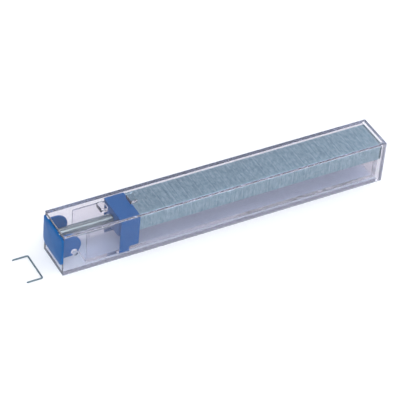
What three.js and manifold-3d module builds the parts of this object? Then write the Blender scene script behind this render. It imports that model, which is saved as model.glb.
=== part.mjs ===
import * as THREE from 'three';
import { mergeVertices } from 'three/addons/utils/BufferGeometryUtils.js';
import Module from 'manifold-3d';

// A clear plastic cassette of staples for a heavy-duty stapler, with one staple lying beside it.
// Millimetres, +Z up, +X towards the end where the staples leave, origin in the middle of the underside.
// Places along the cassette are given as distances from its rear end, and turned into X by fromRear.

const wasm = await Module();
wasm.setup();

// Housing: a rectangular sleeve, open at the rear.
const LENGTH = 132;
const WIDTH = 15.7;
const HEIGHT = 18;
const SIDE_WALL = 1.2;
const TOP_WALL = 1.2;
const FLOOR = 1.5;
const FRONT_WALL = 1.2;
const EDGE_RADIUS = 0.25;
const SLOT = 0.9;
const LUGS_FROM_REAR = [18.8, 30.4];
const LUG = { length: 2.9, width: 4.6, height: 1.5, radius: 0.8, y: 1 };
const GATE = { fromRear: 35.7, radius: 0.4, height: 0.15 };
const POCKETS_FROM_REAR = [16.6, 73.2, 123.3];
const POCKET = { length: 0.4, depth: 0.5, bottom: 0.8, top: 2.2 };
const NUB = { radius: 1, height: 1.3, fromRear: 4.95, z: 8.4 };

// Staples: flat-ground wire, bent to a U, glued side by side in strips.
const CROWN = 13;
const LEG = 6.3;
const WIRE = 0.46;
const BEND_RADIUS = 0.7;
const PITCH = 0.4775;
const STRIPS = 19;
const STAPLES_PER_STRIP = 11;
const GLUE_LINE = 0.02;
const STACK_FROM_REAR = 30.05;
const CROWN_TOP = 16.6;

// Guide rail: the channel that the staples straddle.
const RAIL_TOP = CROWN_TOP - WIRE - 0.1;
const RAIL = { rear: 9.6, width: 11.8, wall: 0.7, floor: 1.1, web: 1.6, lift: 0.05, top: RAIL_TOP };

// Pusher: a saddle over the rail, with a foot at the rear of each side plate.
const PUSHER = { rear: 22.5, front: 30, footFront: 26.3, footBottom: 1.9, bottom: 4.1, top: 16.7 };
const PUSHER_WIDTH = 13.1;
const PUSHER_PLATE = 0.55;
const SADDLE = { rear: 22.3, bottom: 16.1 };
const CARRIER = { front: 28, width: 9, bottom: 8.6 };
const DIMPLE = { fromRear: 27.2, y: 1.1, radius: 0.8, depth: 0.2 };

// Rear cap: an end plate outside the sleeve, with two ears that snap onto the housing's nubs.
const PLATE = { thickness: 1, bottom: 4.1, top: 16.3, lowerRadius: 2.6, upperRadius: 0.6 };
const EAR = { centre: 3, z: 11.25, radius: 4.5, thickness: 0.7, inset: 1, steps: 24 };
const BOSS = { radius: 2.2, length: 1.2, socket: 1.6 };

// Spring and its guide rod, on the centre line.
const AXIS_Z = 12.3;
const ROD_RADIUS = 1;
const SPRING = { outer: 2, inner: 1.45 };

// Loose staple, flat on the table behind the cassette.
const LOOSE = { crownFromRear: -6.7, y: 0.2 };

const CLEARANCE = 0.3;
const SLIDING_GAP = 0.1;
const OVERCUT = 1;
const ROUND_STEPS = 20;
const CORNER_STEPS = 5;

const INNER_WIDTH = WIDTH - 2 * SIDE_WALL;
const CEILING = HEIGHT - TOP_WALL;
const SLOT_FRONT = LENGTH - FRONT_WALL;
const SLOT_REAR = SLOT_FRONT - SLOT;

const fromRear = (distance) => distance - LENGTH / 2;
const centred = (width) => [-width / 2, width / 2];

// ---- solids ----

/** A solid from a closed geometry, whose shared vertices are merged first. */
function solid(geometry) {
  const bare = geometry.clone();
  bare.deleteAttribute('normal');
  bare.deleteAttribute('uv');
  const welded = mergeVertices(bare);
  return new wasm.Manifold(new wasm.Mesh({
    numProp: 3,
    vertProperties: new Float32Array(welded.attributes.position.array),
    triVerts: new Uint32Array(welded.index.array),
  }));
}

/** The first geometry joined with the others. */
function joined(first, ...others) {
  const whole = others.reduce((sum, other) => sum.add(solid(other)), solid(first));
  return geometryOf(whole);
}

/** A geometry with the others cut away. */
function cut(geometry, ...others) {
  const rest = others.reduce((left, other) => left.subtract(solid(other)), solid(geometry));
  return geometryOf(rest);
}

function geometryOf(manifold) {
  const mesh = manifold.getMesh();
  const geometry = new THREE.BufferGeometry();
  geometry.setAttribute('position', new THREE.BufferAttribute(mesh.vertProperties, 3));
  geometry.setIndex(new THREE.BufferAttribute(mesh.triVerts, 1));
  geometry.computeVertexNormals();
  return geometry;
}

/** A box between two limits along each axis. */
function block([x0, x1], [y0, y1], [z0, z1]) {
  const box = new THREE.BoxGeometry(x1 - x0, y1 - y0, z1 - z0);
  return box.translate((x0 + x1) / 2, (y0 + y1) / 2, (z0 + z1) / 2);
}

/** An outline extruded along Z from 0, with each of its arcs in so many steps. */
function extruded(shape, length, steps) {
  return new THREE.ExtrudeGeometry(shape, { depth: length, bevelEnabled: false, curveSegments: steps });
}

/** An outline in Y and Z, extruded along X. */
function alongX(shape, [x0, x1], steps = CORNER_STEPS) {
  const turn = new THREE.Matrix4().makeBasis(
    new THREE.Vector3(0, 1, 0),
    new THREE.Vector3(0, 0, 1),
    new THREE.Vector3(1, 0, 0),
  );
  return extruded(shape, x1 - x0, steps).applyMatrix4(turn).translate(x0, 0, 0);
}

/** An outline in X and Z, extruded along Y. */
function alongY(shape, [y0, y1], steps = CORNER_STEPS) {
  return extruded(shape, y1 - y0, steps).rotateX(Math.PI / 2).translate(0, y1, 0);
}

/** An outline in X and Y, extruded along Z. */
function alongZ(shape, [z0, z1], steps = CORNER_STEPS) {
  return extruded(shape, z1 - z0, steps).translate(0, 0, z0);
}

/** A round bar along X on the spring's axis. */
function roundBar(radius, [x0, x1]) {
  const bar = new THREE.CylinderGeometry(radius, radius, x1 - x0, ROUND_STEPS);
  return bar.rotateZ(Math.PI / 2).translate((x0 + x1) / 2, 0, AXIS_Z);
}

/** A round pin along Y. */
function crossPin(radius, x, [y0, y1], z) {
  const pin = new THREE.CylinderGeometry(radius, radius, y1 - y0, ROUND_STEPS);
  return pin.translate(x, (y0 + y1) / 2, z);
}

/** A rectangle with rounded lower and upper corners. */
function roundedRectangle([u0, u1], [v0, v1], lower, upper = lower) {
  const shape = new THREE.Shape();
  shape.moveTo(u0 + lower, v0);
  shape.absarc(u1 - lower, v0 + lower, lower, -Math.PI / 2, 0);
  shape.absarc(u1 - upper, v1 - upper, upper, 0, Math.PI / 2);
  shape.absarc(u0 + upper, v1 - upper, upper, Math.PI / 2, Math.PI);
  shape.absarc(u0 + lower, v0 + lower, lower, Math.PI, 1.5 * Math.PI);
  return shape;
}

// ---- pieces ----

/** The sleeve, with its lugs, inner nubs, gate mark and outer pockets, and the slots at the front end. */
function housing() {
  const sleeve = alongX(
    roundedRectangle(centred(WIDTH), [0, HEIGHT], EDGE_RADIUS),
    [fromRear(0), fromRear(LENGTH)],
  );
  const chamber = block(
    [fromRear(-OVERCUT), fromRear(SLOT_FRONT)],
    centred(INNER_WIDTH),
    [FLOOR, CEILING],
  );
  const slots = block(
    [fromRear(SLOT_REAR), fromRear(SLOT_FRONT)],
    centred(INNER_WIDTH),
    [-OVERCUT, HEIGHT + OVERCUT],
  );
  const lugs = LUGS_FROM_REAR.map((distance) => {
    const x = fromRear(distance);
    const outline = roundedRectangle(
      [x - LUG.length / 2, x + LUG.length / 2],
      [LUG.y - LUG.width / 2, LUG.y + LUG.width / 2],
      LUG.radius,
    );
    return alongZ(outline, [CEILING + TOP_WALL / 2, HEIGHT + LUG.height]);
  });
  const nubs = [-1, 1].map((side) => {
    const ends = [side * (INNER_WIDTH + SIDE_WALL) / 2, side * (INNER_WIDTH / 2 - NUB.height)];
    return crossPin(NUB.radius, fromRear(NUB.fromRear), [Math.min(...ends), Math.max(...ends)], NUB.z);
  });
  const gate = new THREE.CylinderGeometry(GATE.radius, GATE.radius, TOP_WALL / 2 + GATE.height, ROUND_STEPS)
    .rotateX(Math.PI / 2)
    .translate(fromRear(GATE.fromRear), 0, HEIGHT + (GATE.height - TOP_WALL / 2) / 2);
  const pockets = POCKETS_FROM_REAR.flatMap((distance) => [-1, 1].map((side) => {
    const faces = [side * (WIDTH / 2 - POCKET.depth), side * (WIDTH / 2 + OVERCUT)];
    return block(
      [fromRear(distance), fromRear(distance + POCKET.length)],
      [Math.min(...faces), Math.max(...faces)],
      [POCKET.bottom, POCKET.top],
    );
  }));
  return joined(cut(sleeve, chamber, slots, ...pockets), ...lugs, ...nubs, gate);
}

/** The channel under the staples, with a web across its front end that holds the guide rod. */
function guideRail() {
  const bar = block(
    [fromRear(RAIL.rear), fromRear(SLOT_REAR)],
    centred(RAIL.width),
    [FLOOR + RAIL.lift, RAIL.top],
  );
  const channel = block(
    [fromRear(RAIL.rear - OVERCUT), fromRear(SLOT_REAR - RAIL.web)],
    centred(RAIL.width - 2 * RAIL.wall),
    [FLOOR + RAIL.lift + RAIL.floor, RAIL.top + OVERCUT],
  );
  const rodHole = roundBar(ROD_RADIUS + CLEARANCE, [fromRear(SLOT_REAR - 2 * RAIL.web), fromRear(LENGTH)]);
  return cut(bar, channel, rodHole);
}

/** The D-shaped outline of an ear, flat where it meets the plate. */
function earOutline() {
  const shape = new THREE.Shape();
  shape.moveTo(fromRear(-PLATE.thickness / 2), EAR.z - EAR.radius);
  shape.lineTo(fromRear(EAR.centre), EAR.z - EAR.radius);
  shape.absarc(fromRear(EAR.centre), EAR.z, EAR.radius, -Math.PI / 2, Math.PI / 2);
  shape.lineTo(fromRear(-PLATE.thickness / 2), EAR.z + EAR.radius);
  return shape;
}

/** The cap that closes the rear, with a socket for the guide rod. */
function rearCap() {
  const plate = alongX(
    roundedRectangle(centred(WIDTH), [PLATE.bottom, PLATE.top], PLATE.lowerRadius, PLATE.upperRadius),
    [fromRear(-PLATE.thickness), fromRear(0)],
  );
  const outerFace = INNER_WIDTH / 2 - EAR.inset;
  const ears = [[-outerFace, EAR.thickness - outerFace], [outerFace - EAR.thickness, outerFace]]
    .map((limits) => alongY(earOutline(), limits, EAR.steps));
  const boss = roundBar(BOSS.radius, [fromRear(-PLATE.thickness / 2), fromRear(BOSS.length)]);
  const socket = roundBar(
    ROD_RADIUS + CLEARANCE,
    [fromRear(BOSS.length - BOSS.socket), fromRear(BOSS.length + OVERCUT)],
  );
  const nubHole = crossPin(NUB.radius + CLEARANCE, fromRear(NUB.fromRear), centred(WIDTH), NUB.z);
  return cut(joined(plate, ...ears, boss), socket, nubHole);
}

/** The outline of a side plate, with its foot reaching down at the rear. */
function sidePlateOutline() {
  const shape = new THREE.Shape();
  shape.moveTo(fromRear(PUSHER.rear), PUSHER.footBottom);
  shape.lineTo(fromRear(PUSHER.footFront), PUSHER.footBottom);
  shape.lineTo(fromRear(PUSHER.footFront), PUSHER.bottom);
  shape.lineTo(fromRear(PUSHER.front), PUSHER.bottom);
  shape.lineTo(fromRear(PUSHER.front), PUSHER.top);
  shape.lineTo(fromRear(PUSHER.rear), PUSHER.top);
  return shape;
}

/** The saddle that the spring drives: a top plate, two side plates and a carrier inside the rail. */
function pusher() {
  const saddle = block(
    [fromRear(SADDLE.rear), fromRear(PUSHER.front)],
    centred(PUSHER_WIDTH),
    [SADDLE.bottom, PUSHER.top],
  );
  const outer = PUSHER_WIDTH / 2;
  const sides = [[-outer, PUSHER_PLATE - outer], [outer - PUSHER_PLATE, outer]]
    .map((limits) => alongY(sidePlateOutline(), limits));
  const carrier = block(
    [fromRear(PUSHER.rear), fromRear(CARRIER.front)],
    centred(CARRIER.width),
    [CARRIER.bottom, SADDLE.bottom],
  );
  const bore = roundBar(ROD_RADIUS + CLEARANCE, [fromRear(SADDLE.rear - OVERCUT), fromRear(PUSHER.front)]);
  const dimple = new THREE.SphereGeometry(DIMPLE.radius, ROUND_STEPS, ROUND_STEPS / 2)
    .translate(fromRear(DIMPLE.fromRear), DIMPLE.y, PUSHER.top + DIMPLE.radius - DIMPLE.depth);
  return cut(joined(saddle, ...sides, carrier), bore, dimple);
}

/** The rod from the cap's socket to the rail's web. */
function guideRod() {
  const start = BOSS.length - BOSS.socket + CLEARANCE;
  return roundBar(ROD_RADIUS, [fromRear(start), fromRear(SLOT_REAR - CLEARANCE)]);
}

/** The space that the compressed spring fills round the rod, as a tube. */
function pushSpring() {
  const length = PUSHER.rear - BOSS.length - 2 * SLIDING_GAP;
  const profile = [
    new THREE.Vector2(SPRING.inner, 0),
    new THREE.Vector2(SPRING.outer, 0),
    new THREE.Vector2(SPRING.outer, length),
    new THREE.Vector2(SPRING.inner, length),
    new THREE.Vector2(SPRING.inner, 0),
  ];
  const tube = new THREE.LatheGeometry(profile, ROUND_STEPS);
  return tube.rotateZ(-Math.PI / 2).translate(fromRear(BOSS.length + SLIDING_GAP), 0, AXIS_Z);
}

/** The U of one staple seen along the stack, with the crown's outer face at the top. */
function stapleOutline() {
  const half = CROWN / 2;
  const inner = half - WIRE;
  const innerRadius = BEND_RADIUS - WIRE;
  const shape = new THREE.Shape();
  shape.moveTo(-half, -LEG);
  shape.lineTo(-inner, -LEG);
  shape.absarc(innerRadius - inner, -BEND_RADIUS, innerRadius, Math.PI, Math.PI / 2, true);
  shape.absarc(inner - innerRadius, -BEND_RADIUS, innerRadius, Math.PI / 2, 0, true);
  shape.lineTo(inner, -LEG);
  shape.lineTo(half, -LEG);
  shape.absarc(half - BEND_RADIUS, -BEND_RADIUS, BEND_RADIUS, 0, Math.PI / 2);
  shape.absarc(BEND_RADIUS - half, -BEND_RADIUS, BEND_RADIUS, Math.PI / 2, Math.PI);
  return shape;
}

/** Staples side by side along X from 0, as one solid. */
const staples = (thickness) => alongX(stapleOutline(), [0, thickness]);

// ---- assembly ----

const CLEAR = { color: 0xc6c2d8, roughness: 0.08, metalness: 0, transparent: true, opacity: 0.35 };
const BLUE = { color: 0x1f5fb0, roughness: 0.35, metalness: 0 };
const STEEL = { color: 0x93a9b4, roughness: 0.3, metalness: 0.9 };

const cassette = new THREE.Group();

function place(name, geometry, look, position = [0, 0, 0]) {
  const mesh = new THREE.Mesh(geometry, new THREE.MeshStandardMaterial(look));
  mesh.name = name;
  mesh.position.set(...position);
  cassette.add(mesh);
  return mesh;
}

place('housing', housing(), CLEAR);
place('guide_rail', guideRail(), CLEAR);
place('rear_cap', rearCap(), BLUE);
place('pusher', pusher(), BLUE);
place('guide_rod', guideRod(), STEEL);
place('push_spring', pushSpring(), STEEL);

const STRIP_LENGTH = STAPLES_PER_STRIP * PITCH;
for (let index = 0; index < STRIPS; index += 1) {
  const name = `staple_strip_${String(index + 1).padStart(2, '0')}`;
  const x = fromRear(STACK_FROM_REAR + index * STRIP_LENGTH);
  place(name, staples(STRIP_LENGTH - GLUE_LINE), STEEL, [x, 0, CROWN_TOP]);
}
const frontGap = (SLOT - WIRE) / 2;
place('front_staple', staples(WIRE), STEEL, [fromRear(SLOT_REAR + frontGap), 0, CROWN_TOP]);

const loose = place('loose_staple', staples(WIRE), STEEL, [fromRear(LOOSE.crownFromRear), LOOSE.y, WIRE]);
loose.rotation.y = Math.PI / 2;

export default cassette;
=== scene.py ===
"""A clear staple cassette with a blue end cap and pusher, its stack of staples, and one loose staple."""

import math
import random

import bmesh
import bpy
from mathutils import Matrix, Vector


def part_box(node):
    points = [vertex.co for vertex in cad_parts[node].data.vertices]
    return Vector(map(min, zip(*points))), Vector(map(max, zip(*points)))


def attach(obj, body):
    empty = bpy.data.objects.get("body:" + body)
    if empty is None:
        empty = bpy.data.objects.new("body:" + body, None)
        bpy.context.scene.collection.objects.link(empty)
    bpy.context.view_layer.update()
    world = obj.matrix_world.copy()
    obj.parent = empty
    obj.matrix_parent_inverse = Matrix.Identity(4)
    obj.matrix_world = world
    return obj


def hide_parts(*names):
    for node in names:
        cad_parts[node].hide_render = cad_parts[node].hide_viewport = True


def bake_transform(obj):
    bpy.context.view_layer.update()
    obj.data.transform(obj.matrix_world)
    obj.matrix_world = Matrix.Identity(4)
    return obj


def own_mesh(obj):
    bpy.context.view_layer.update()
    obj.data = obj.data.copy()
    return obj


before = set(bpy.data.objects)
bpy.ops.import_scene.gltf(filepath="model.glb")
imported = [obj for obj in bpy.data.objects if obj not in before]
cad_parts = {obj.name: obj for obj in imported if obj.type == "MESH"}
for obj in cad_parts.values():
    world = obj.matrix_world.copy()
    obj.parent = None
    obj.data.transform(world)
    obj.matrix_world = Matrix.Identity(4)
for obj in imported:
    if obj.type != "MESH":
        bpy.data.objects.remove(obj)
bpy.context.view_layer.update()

MM = 0.001
random.seed(26)

HOUSING_LOW, HOUSING_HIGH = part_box("housing")
STRIPS = sorted(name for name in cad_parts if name.startswith("staple_strip_"))
STAPLES_PER_STRIP = 11


# ---- camera, table and light ----

def camera():
    """A long lens from above the near side of the rear end, rolled a few degrees."""
    azimuth, elevation, roll = (math.radians(angle) for angle in (-31.708, 40.461, 5.491))
    target = Vector((-7.08, 1.21, 8.0)) * MM
    distance = 766.5 * MM
    forward = Vector((
        -math.sin(azimuth) * math.cos(elevation),
        math.cos(azimuth) * math.cos(elevation),
        -math.sin(elevation),
    ))
    level = forward.cross(Vector((0, 0, 1))).normalized()
    upright = level.cross(forward)
    right = math.cos(roll) * level + math.sin(roll) * upright
    up = math.cos(roll) * upright - math.sin(roll) * level
    data = bpy.data.cameras.new("camera")
    data.lens = 190.46
    data.sensor_width = 36
    data.clip_start = 0.01
    data.clip_end = 20
    data.dof.use_dof = False
    made = bpy.data.objects.new("camera", data)
    turned = Matrix((right, up, -forward)).transposed().to_4x4()
    made.matrix_world = Matrix.Translation(target - forward * distance) @ turned
    bpy.context.scene.collection.objects.link(made)
    bpy.context.scene.camera = made


def surround():
    """A pale sky, greyer halfway up."""
    world = bpy.data.worlds.new("studio")
    bpy.context.scene.world = world
    world.use_nodes = True
    tree = world.node_tree
    height = tree.nodes.new("ShaderNodeSeparateXYZ")
    tree.links.new(tree.nodes.new("ShaderNodeTexCoord").outputs["Generated"], height.inputs["Vector"])
    sky = ramp(tree, height.outputs["Z"], [
        (0.0, (0.85, 0.87, 0.95)),
        (0.7, (0.58, 0.61, 0.68)),
        (0.95, (0.95, 0.97, 1.0)),
    ])
    tree.links.new(sky, tree.nodes["Background"].inputs["Color"])


def area_light(name, place, aim, size, power):
    data = bpy.data.lights.new(name, "AREA")
    data.shape = "RECTANGLE"
    data.size, data.size_y = size
    data.energy = power
    made = bpy.data.objects.new(name, data)
    made.location = place
    made.rotation_euler = (Vector(aim) - Vector(place)).to_track_quat("-Z", "Y").to_euler()
    bpy.context.scene.collection.objects.link(made)


def lights():
    """Soft lights, nearly all on the near side, so that the far walls keep their dark outline."""
    area_light("key_light", place=(-0.35, -0.45, 0.75), aim=(0, 0, 0), size=(0.5, 0.5), power=2.7)
    area_light("top_light", place=(0.12, -0.3, 0.8), aim=(0, 0, 0), size=(0.9, 0.3), power=1.9)
    area_light("rim_light", place=(0.6, 0.5, 0.35), aim=(0, 0, 0.01), size=(0.2, 0.5), power=0.4)
    area_light("edge_light", place=(0.36, -0.58, 0.58), aim=(0, 0, 0.01), size=(0.6, 0.12), power=0.7)
    # The low light reaches the table under the stack of staples.
    area_light("low_light", place=(0.1, -0.8, 0.34), aim=(0, 0, 0.005), size=(0.9, 0.15), power=0.6)


def light_paths():
    """The clear walls carry light along them by many inner reflections, so its paths are long."""
    bounces = 128
    cycles = bpy.context.scene.cycles
    cycles.max_bounces = bounces
    cycles.transmission_bounces = bounces
    cycles.glossy_bounces = bounces
    cycles.transparent_max_bounces = bounces // 2


def table():
    """A pale table top, a hair under the cassette's base."""
    half = 1.5
    gap = 0.05 * MM
    mesh = bpy.data.meshes.new("floor")
    corners = [(-half, -half, 0), (half, -half, 0), (half, half, 0), (-half, half, 0)]
    mesh.from_pydata(corners, [], [(0, 1, 2, 3)])
    floor = bpy.data.objects.new("floor", mesh)
    floor.location.z = -gap
    bpy.context.scene.collection.objects.link(floor)
    paper = bpy.data.materials.new("paper")
    paper.use_nodes = True
    shader = paper.node_tree.nodes["Principled BSDF"]
    shader.inputs["Base Color"].default_value = (0.93, 0.93, 0.93, 1)
    shader.inputs["Roughness"].default_value = 0.9
    shader.inputs["Specular IOR Level"].default_value = 0.2
    mesh.materials.append(paper)


def studio():
    surround()
    lights()
    bpy.context.scene.view_settings.view_transform = "Standard"
    light_paths()
    table()


# ---- materials ----

def node(tree, kind, **inputs):
    """A new node, with its inputs set by name or linked from another node's output."""
    made = tree.nodes.new(kind)
    for name, value in inputs.items():
        socket = made.inputs[name.replace("_", " ")]
        if isinstance(value, bpy.types.NodeSocket):
            tree.links.new(value, socket)
        else:
            socket.default_value = value
    return made


def material(name, **values):
    """A new material, with plain values on its Principled shader."""
    made = bpy.data.materials.new(name)
    made.use_nodes = True
    shader = made.node_tree.nodes["Principled BSDF"]
    for key, value in values.items():
        shader.inputs[key.replace("_", " ")].default_value = value
    return made, made.node_tree, shader


def ramp(tree, factor, stops):
    """A colour ramp fed by factor, with (place, colour) stops."""
    made = tree.nodes.new("ShaderNodeValToRGB")
    tree.links.new(factor, made.inputs["Fac"])
    elements = made.color_ramp.elements
    while len(elements) < len(stops):
        elements.new(0.5)
    for element, (place, colour) in zip(elements, stops):
        element.position = place
        element.color = (*colour, 1)
    return made.outputs["Color"]


def noise(tree, fineness, detail):
    """Noise in object space. Its fineness along each axis is per millimetre."""
    coordinates = tree.nodes.new("ShaderNodeTexCoord")
    mapping = node(tree, "ShaderNodeMapping", Vector=coordinates.outputs["Object"])
    mapping.inputs["Scale"].default_value = [value / MM for value in fineness]
    made = node(tree, "ShaderNodeTexNoise", Vector=mapping.outputs["Vector"], Scale=1.0, Detail=detail)
    return made.outputs["Fac"]


def base_colour(tree, shader, factor, stops):
    tree.links.new(ramp(tree, factor, stops), shader.inputs["Base Color"])


def roughness(tree, shader, factor, low, high):
    """Roughness from low to high as the factor goes from 0 to 1."""
    made = node(tree, "ShaderNodeMapRange", Value=factor, To_Min=low, To_Max=high)
    tree.links.new(made.outputs["Result"], shader.inputs["Roughness"])


def bump(tree, shader, height, strength, depth):
    """Relief that follows height, with its depth in millimetres."""
    made = node(tree, "ShaderNodeBump", Height=height, Strength=strength, Distance=depth * MM)
    tree.links.new(made.outputs["Normal"], shader.inputs["Normal"])


def clear_plastic(name, density, ior):
    """Polished clear plastic with faint flow lines from the mould. It darkens with thickness."""
    made, tree, shader = material(name, Roughness=0.04, IOR=ior, Transmission_Weight=0.985)
    shader.inputs["Specular Tint"].default_value = (0.2, 0.2, 0.25, 1)
    flow = noise(tree, (0.05, 0.3, 0.3), detail=3.0)
    base_colour(tree, shader, flow, [(0.3, (0.92, 0.897, 0.915)), (0.7, (0.94, 0.917, 0.935))])
    bump(tree, shader, flow, strength=0.25, depth=0.05)
    # Shadow rays and diffuse rays go straight through, so the inside is lit as the outside is.
    path = tree.nodes.new("ShaderNodeLightPath")
    straight = node(tree, "ShaderNodeBsdfTransparent", Color=(0.946, 0.975, 1.0, 1))
    surface = shader.outputs["BSDF"]
    for kind in ("Is Shadow Ray", "Is Diffuse Ray"):
        mix = node(tree, "ShaderNodeMixShader", Fac=path.outputs[kind])
        tree.links.new(surface, mix.inputs[1])
        tree.links.new(straight.outputs["BSDF"], mix.inputs[2])
        surface = mix.outputs["Shader"]
    body = node(tree, "ShaderNodeVolumeAbsorption", Color=(0.0, 0.0, 0.2, 1), Density=density)
    output = next(n for n in tree.nodes if n.type == "OUTPUT_MATERIAL")
    tree.links.new(surface, output.inputs["Surface"])
    tree.links.new(body.outputs["Volume"], output.inputs["Volume"])
    return made


def blue_plastic():
    """Moulded blue plastic with a fine spark-eroded grain and slightly cloudy colour."""
    made, tree, shader = material("blue_plastic", IOR=1.5, Specular_IOR_Level=0.12)
    shader.inputs["Subsurface Weight"].default_value = 0.08
    shader.inputs["Subsurface Scale"].default_value = 0.6 * MM
    shader.inputs["Subsurface Radius"].default_value = (0.2, 0.5, 1.0)
    cloud = noise(tree, (0.35, 0.35, 0.35), detail=4.0)
    base_colour(tree, shader, cloud, [(0.3, (0.002, 0.085, 0.272)), (0.7, (0.006, 0.102, 0.312))])
    grain = noise(tree, (9, 9, 9), detail=2.0)
    roughness(tree, shader, grain, low=0.28, high=0.46)
    bump(tree, shader, grain, strength=0.3, depth=0.02)
    return made


def staple_wire(name, shade):
    """Zinc-plated wire: every staple a slightly different grey-blue, with glue hazing it in patches. A
    shade below 1 scales every colour down, which makes a copy with painted shade.
    """
    made, tree, shader = material(name, Metallic=1.0)
    difference = 0.4
    single = tree.nodes.new("ShaderNodeNewGeometry").outputs["Random Per Island"]
    patches = noise(tree, (1.4, 0.7, 0.7), detail=5.0)
    mixed = node(tree, "ShaderNodeMath", Value=single)
    mixed.operation = "MULTIPLY_ADD"
    mixed.inputs[1].default_value = difference
    tree.links.new(patches, mixed.inputs[2])
    tones = [
        (0.4, (0.19, 0.3, 0.37)),
        (0.6, (0.27, 0.41, 0.48)),
        (0.8, (0.36, 0.5, 0.57)),
        (0.95, (0.48, 0.62, 0.69)),
    ]
    shaded = [(place, [shade * part for part in tone]) for place, tone in tones]
    base_colour(tree, shader, mixed.outputs["Value"], shaded)
    roughness(tree, shader, patches, low=0.3, high=0.55)
    drawn = noise(tree, (12, 0.8, 0.8), detail=2.0)
    bump(tree, shader, drawn, strength=0.2, depth=0.01)
    return made


def bright_steel():
    """Bright drawn steel with fine lengthwise lines."""
    made, tree, shader = material("bright_steel", Metallic=1.0)
    lines = noise(tree, (0.4, 14, 14), detail=2.0)
    base_colour(tree, shader, lines, [(0.3, (0.3, 0.38, 0.4)), (0.7, (0.5, 0.57, 0.58))])
    roughness(tree, shader, lines, low=0.12, high=0.3)
    bump(tree, shader, lines, strength=0.15, depth=0.01)
    return made


# ---- mesh helpers ----

HARD_EDGE = math.radians(40)
SMOOTHED_EDGE = math.radians(35)
FLAT_JOIN = math.radians(0.5)
WELD = 0.002 * MM
SAME_PLACE = 0.01 * MM


def piece(name, mesh, body, slot, finish, *replaced):
    """A finished piece that rides on a body and stands for CAD nodes."""
    mesh.materials.clear()
    mesh.materials.append(finish)
    if not mesh.has_custom_normals:
        mesh.shade_smooth()
        mesh.set_sharp_from_angle(angle=SMOOTHED_EDGE)
    made = bpy.data.objects.new(name, mesh)
    bpy.context.scene.collection.objects.link(made)
    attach(made, body)
    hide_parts(*replaced)
    return made


def mesh_from(bm, name):
    bmesh.ops.recalc_face_normals(bm, faces=bm.faces)
    mesh = bpy.data.meshes.new(name)
    bm.to_mesh(mesh)
    bm.free()
    return mesh


def weighted(rough, name):
    """The mesh with its normals weighted by area, so that big faces shade flat up to their rounding."""
    rough.shade_smooth()
    rough.set_sharp_from_angle(angle=HARD_EDGE)
    holder = bpy.data.objects.new(name, rough)
    bpy.context.scene.collection.objects.link(holder)
    flatness = holder.modifiers.new("flatness", "WEIGHTED_NORMAL")
    flatness.keep_sharp = True
    bpy.context.view_layer.update()
    shaped = bpy.data.meshes.new_from_object(holder.evaluated_get(bpy.context.evaluated_depsgraph_get()))
    bpy.data.objects.remove(holder)
    bpy.data.meshes.remove(rough)
    shaped.name = name
    return shaped


def softened(name, source, roundings, trim=None):
    """A copy of a CAD node's mesh with rounded edges. trim keeps only what lies beyond that X.

    roundings are (radius, test) pairs: every hard edge that passes the test gets that radius.
    """
    bm = bmesh.new()
    bm.from_mesh(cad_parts[source].data)
    bmesh.ops.remove_doubles(bm, verts=bm.verts, dist=WELD)
    if trim is not None:
        whole = [*bm.verts, *bm.edges, *bm.faces]
        cut = bmesh.ops.bisect_plane(
            bm, geom=whole, plane_co=(trim, 0, 0), plane_no=(1, 0, 0), clear_inner=True
        )
        bmesh.ops.holes_fill(bm, edges=[e for e in cut["geom_cut"] if isinstance(e, bmesh.types.BMEdge)])
    bmesh.ops.dissolve_limit(
        bm, angle_limit=FLAT_JOIN, use_dissolve_boundaries=False, verts=bm.verts, edges=bm.edges
    )
    bmesh.ops.recalc_face_normals(bm, faces=bm.faces)
    for radius, test in roundings:
        hard = [e for e in bm.edges if e.calc_face_angle(0) > HARD_EDGE and test(e)]
        bmesh.ops.bevel(
            bm, geom=hard, offset=radius, segments=3, profile=0.5, affect="EDGES", clamp_overlap=False
        )
    return weighted(mesh_from(bm, name), name)


def in_plane(axis, place):
    """A test for edges that lie in the plane at that place along an axis."""
    return lambda edge: all(abs(vertex.co[axis] - place) < SAME_PLACE for vertex in edge.verts)


def anywhere(edge):
    return True


def skin_rings(bm, rings):
    """Quads between rings of the same number of points, with a face across each end."""
    loops = [[bm.verts.new(point) for point in ring] for ring in rings]
    count = len(loops[0])
    for first, second in zip(loops, loops[1:]):
        for index in range(count):
            after = (index + 1) % count
            bm.faces.new((first[index], first[after], second[after], second[index]))
    bm.faces.new(loops[0])
    bm.faces.new(reversed(loops[-1]))


def tube_rings(path, outline):
    """An outline carried along a path. Each path entry is (point, sideways, outward)."""
    return [[point + u * side + v * out for u, v in outline] for point, side, out in path]


def circle(radius, count):
    turn = 2 * math.pi / count
    return [(radius * math.cos(turn * i), radius * math.sin(turn * i)) for i in range(count)]


# ---- staples ----

WIRE_LOW, WIRE_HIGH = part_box("front_staple")
WIRE = WIRE_HIGH.x - WIRE_LOW.x
CROWN = WIRE_HIGH.y - WIRE_LOW.y
LEG = WIRE_HIGH.z - WIRE_LOW.z
OUTER_BEND = 0.7 * MM
BEND = OUTER_BEND - WIRE / 2
CHISEL = 0.3 * MM
SWAY = 0.03
DROP = 0.05


def wire_outline():
    """The flattened round section of the wire, as (across, outward) offsets."""
    half = WIRE / 2
    corner = 0.3 * half
    return [
        (half, corner - half), (half, half - corner), (half - corner, half), (corner - half, half),
        (-half, half - corner), (-half, corner - half), (corner - half, -half), (half - corner, -half),
    ]


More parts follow.
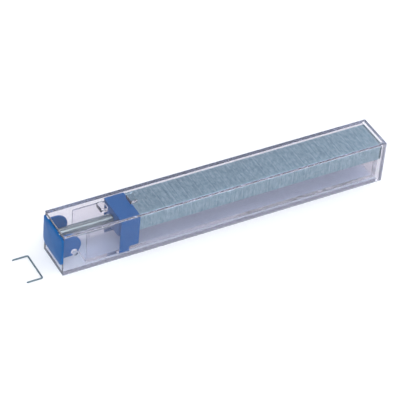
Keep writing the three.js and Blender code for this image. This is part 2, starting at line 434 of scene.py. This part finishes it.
def staple_path():
    """Down one leg's centre line, round both bends and down the other, with the crown's outer face at 0."""
    across = Vector((1, 0, 0))
    reach = CROWN / 2 - WIRE / 2
    centre_y = reach - BEND
    centre_z = -WIRE / 2 - BEND
    steps = 6
    path = [(Vector((0, -reach, -LEG)), across, Vector((0, -1, 0)))]
    for side in (-1, 1):
        for step in range(steps + 1):
            turned = 90 * step / steps
            angle = math.radians(turned if side > 0 else 90 - turned)
            outward = Vector((0, side * math.sin(angle), math.cos(angle)))
            place = Vector((0, side * centre_y, centre_z)) + outward * BEND
            path.append((place, across, outward))
    path.append((Vector((0, reach, -LEG)), across, Vector((0, 1, 0))))
    return path


def add_staple(bm, turn):
    """One staple, with chisel points on its legs, placed by a matrix."""
    rings = tube_rings(staple_path(), wire_outline())
    for ring in (rings[0], rings[-1]):
        inward = min(abs(p.y) for p in ring)
        for p in ring:
            p.z += CHISEL * (abs(p.y) - inward) / WIRE
    skin_rings(bm, [[turn @ p for p in ring] for ring in rings])


def staple_piece(name, turns, body, finish, replaced):
    bm = bmesh.new()
    for turn in turns:
        add_staple(bm, turn)
    return piece(name, mesh_from(bm, name), body, "staple_wire", finish, replaced)


def stack(finish):
    """The glued strips, each built where its CAD strip lies; in use they shorten towards the front as the
    pusher advances.
    """
    for strip in STRIPS:
        low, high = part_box(strip)
        pitch = (high.x - low.x - WIRE) / (STAPLES_PER_STRIP - 1)
        turns = []
        for index in range(STAPLES_PER_STRIP):
            sway = Vector((0, random.uniform(-SWAY, SWAY), random.uniform(-DROP, 0))) * MM
            place = Vector((low.x + WIRE / 2 + index * pitch, 0, high.z)) + sway
            turns.append(Matrix.Translation(place))
        made = staple_piece(strip.replace("strip", "run"), turns, "cassette", finish, strip)
        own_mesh(made)


def single_staples(finish):
    """The staple in the driver slot and the one that lies on the table."""
    low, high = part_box("front_staple")
    upright = Matrix.Translation(((low.x + high.x) / 2, 0, high.z))
    staple_piece("staple_in_slot", [upright], "front_staple", finish, "front_staple")
    low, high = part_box("loose_staple")
    lying = Matrix.Translation((high.x, (low.y + high.y) / 2, (low.z + high.z) / 2))
    lying = lying @ Matrix.Rotation(math.pi / 2, 4, "Y")
    staple_piece("staple_on_table", [lying], "loose_staple", finish, "loose_staple")


# ---- spring and rod ----

def coil(finish):
    """The compression spring, built at one length; in use it stretches as the pusher leaves the cap."""
    low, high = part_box("push_spring")
    wire = 0.19 * MM
    radius = (high.y - low.y) / 2 - wire
    centre = (low + high) / 2
    coils, steps = 31, 20
    crowding = 0.035
    path = []
    for index in range(coils * steps + 1):
        share = index / (coils * steps)
        # The coils stand a little closer at both ends and halfway than in between.
        along = share - crowding * math.sin(4 * math.pi * share) / math.pi
        angle = 2 * math.pi * index / steps
        outward = Vector((0, math.cos(angle), math.sin(angle)))
        x = low.x + wire + (high.x - low.x - 2 * wire) * along
        place = Vector((x, centre.y, centre.z)) + outward * radius
        path.append((place, Vector((1, 0, 0)), outward))
    bm = bmesh.new()
    skin_rings(bm, tube_rings(path, circle(wire, 8)))
    mesh = mesh_from(bm, "spring_coil")
    made = piece("spring_coil", mesh, "cassette", "bright_steel", finish, "push_spring")
    made.parent = None
    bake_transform(made)
    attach(made, "cassette")


def rod(finish):
    """The rod through the spring, with chamfered ends."""
    low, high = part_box("guide_rod")
    centre = (low + high) / 2
    radius = (high.y - low.y) / 2
    chamfer = 0.25 * MM
    stations = [
        (low.x, radius - chamfer),
        (low.x + chamfer, radius),
        (high.x - chamfer, radius),
        (high.x, radius - chamfer),
    ]
    rings = []
    for x, r in stations:
        rings.append([Vector((x, centre.y + u, centre.z + v)) for u, v in circle(r, 40)])
    bm = bmesh.new()
    skin_rings(bm, rings)
    piece("guide_wire", mesh_from(bm, "guide_wire"), "cassette", "bright_steel", finish, "guide_rod")


# ---- moulded parts ----

def shell(finish):
    """The clear housing, with rounded lugs and slightly rounded ends."""
    lug_rounding = 0.35 * MM
    end_rounding = 0.15 * MM
    mesh = softened("shell", "housing", [
        (lug_rounding, in_plane(2, HOUSING_HIGH.z)),
        (end_rounding, in_plane(0, HOUSING_LOW.x)),
        (end_rounding, in_plane(0, HOUSING_HIGH.x)),
    ])
    piece("shell", mesh, "cassette", "clear_plastic", finish, "housing")


def channel(finish):
    """The clear guide rail."""
    mesh = softened("channel", "guide_rail", [(0.12 * MM, anywhere)])
    piece("channel", mesh, "cassette", "clear_plastic", finish, "guide_rail")


def cap_ears(finish):
    """The rear cap's snap-in ears. They reach a little way into the end plate."""
    overlap = 0.2 * MM
    mesh = softened("cap_ears", "rear_cap", [(0.08 * MM, anywhere)], trim=HOUSING_LOW.x - overlap)
    piece("cap_ears", mesh, "cassette", "blue_plastic", finish, "rear_cap")


def plate_outline(low, high, lower, upper):
    """The end plate's outline in Y and Z, with round corners, as points at even angles."""
    steps = 8
    corners = [
        (high.y - lower, low.z + lower, lower, -90), (high.y - upper, high.z - upper, upper, 0),
        (low.y + upper, high.z - upper, upper, 90), (low.y + lower, low.z + lower, lower, 180),
    ]
    points = []
    for y, z, radius, start in corners:
        for step in range(steps + 1):
            angle = math.radians(start + 90 * step / steps)
            points.append(Vector((0, y + radius * math.cos(angle), z + radius * math.sin(angle))))
    return points


def end_plate(finish):
    """The cap's end plate: slightly crowned, with a rounded rim."""
    low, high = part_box("rear_cap")
    outline = plate_outline(low, high, lower=2.6 * MM, upper=0.6 * MM)
    centre = sum(outline, Vector()) / len(outline)
    face, back = low.x, HOUSING_LOW.x
    crown, crown_power = 0.42 * MM, 2.4
    rim, rim_depth, rim_steps = 0.28 * MM, 0.9, 4
    reach = 6 * MM
    rings = []
    for share in (0.08, 0.25, 0.45, 0.65, 0.82, 0.92):
        rings.append((share, face + crown * share ** crown_power))
    edge_x = face + crown
    for step in range(rim_steps + 1):
        angle = math.radians(90 * step / rim_steps)
        inset = rim * (1 - math.sin(angle))
        rings.append((1 - inset / reach, edge_x + rim * (1 - math.cos(angle)) * rim_depth))
    rings.append((1, back))
    placed = []
    for share, x in rings:
        placed.append([centre + (p - centre) * share + Vector((x, 0, 0)) for p in outline])
    bm = bmesh.new()
    skin_rings(bm, placed)
    piece("end_plate", mesh_from(bm, "end_plate"), "cassette", "blue_plastic", finish, "rear_cap")


def saddle(finish):
    """The blue pusher that straddles the guide rail."""
    mesh = softened("saddle", "pusher", [(0.08 * MM, anywhere)])
    piece("saddle", mesh, "pusher", "blue_plastic", finish, "pusher")


def main():
    camera()
    studio()
    clear = clear_plastic("clear_plastic", density=38, ior=1.5)
    blue = blue_plastic()
    wire = staple_wire("staple_wire", shade=1.0)
    # At half brightness: a copy of the staple wire with painted shade, for the staple in the slot and the
    # one on the table.
    painted_shade_wire = staple_wire("painted_shade_wire", shade=0.5)
    steel = bright_steel()
    shell(clear)
    # The rail bends light less than the shell does, which keeps its outline faint.
    channel(clear_plastic("rail_plastic", density=8, ior=1.2))
    cap_ears(blue)
    end_plate(blue)
    saddle(blue)
    stack(wire)
    single_staples(painted_shade_wire)
    coil(steel)
    rod(steel)


main()
